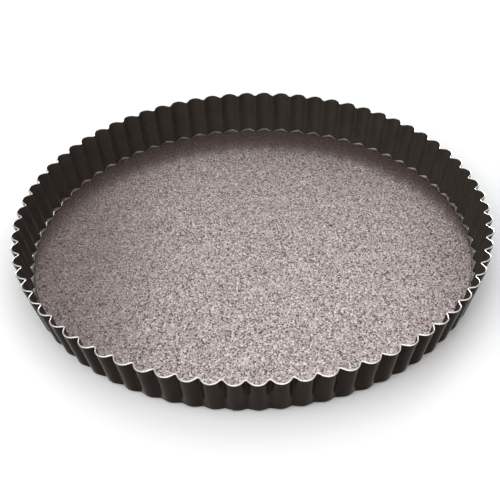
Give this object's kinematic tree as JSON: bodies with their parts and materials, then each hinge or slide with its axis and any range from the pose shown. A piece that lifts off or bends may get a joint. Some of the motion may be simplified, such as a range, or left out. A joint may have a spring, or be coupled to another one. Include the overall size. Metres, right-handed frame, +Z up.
{
  "type": "tart pan",
  "caption": "Round fluted tart pan with a leaning wall and a flat loose base that lifts out of its ring.",
  "frame": {"origin": "centre of the pan's underside, on the surface that it stands on", "axes": "+Z up along the pan's axis; +X through the tip of a flute's lobe"},
  "size_m": [0.28, 0.28, 0.026],
  "materials": {
    "wall_coating": "satin dark brown-black non-stick coating, bare bright steel at the trimmed rim edge",
    "base_coating": "dark mauve-grey non-stick coating with a fine speckled grain, glossy enough to look light grey where it mirrors a light"
  },
  "bodies": {
    "ring": {"fluted_ring": "wall_coating"},
    "base": {"loose_base": "base_coating"}
  },
  "joints": [
    {"name": "base_lift", "type": "slide", "parent": "ring", "child": "base", "axis": [0, 0, 1], "range_m": [0, 0.06]}
  ]
}
